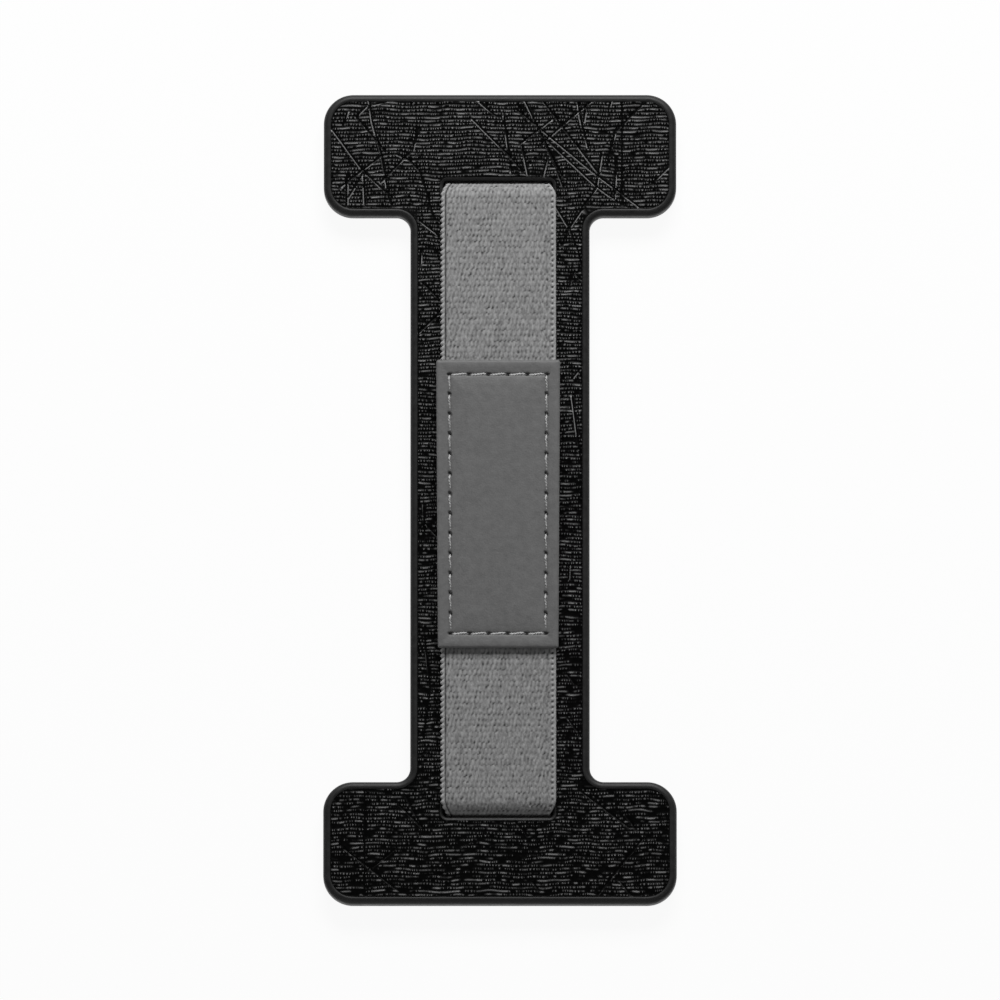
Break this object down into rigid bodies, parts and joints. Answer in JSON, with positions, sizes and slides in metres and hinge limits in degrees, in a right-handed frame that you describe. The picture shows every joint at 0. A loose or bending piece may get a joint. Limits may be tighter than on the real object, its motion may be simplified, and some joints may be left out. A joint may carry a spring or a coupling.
{
  "type": "tablet hand strap",
  "caption": "Flat I-shaped adhesive plate with two slots and an elastic hand band that carries a sewn leather patch.",
  "frame": {"origin": "middle of the adhesive face at the back of the plate", "axes": "+Z away from the tablet, +Y along the strap, +X across it"},
  "size_m": [0.076, 0.176, 0.0088],
  "materials": {
    "plate": "soft black moulding, smooth rim, face embossed with broken cross lines and scratches",
    "foam": "matt dark acrylic foam",
    "elastic": "grey woven elastic",
    "leather": "smooth grey leather with a fine grain",
    "thread": "light grey twisted thread"
  },
  "bodies": {
    "root": {"base_plate": "plate", "adhesive_pad": "foam", "elastic_band": "elastic", "leather_patch": "leather", "needle_thread": "thread", "bobbin_thread": "thread"}
  },
  "joints": []
}
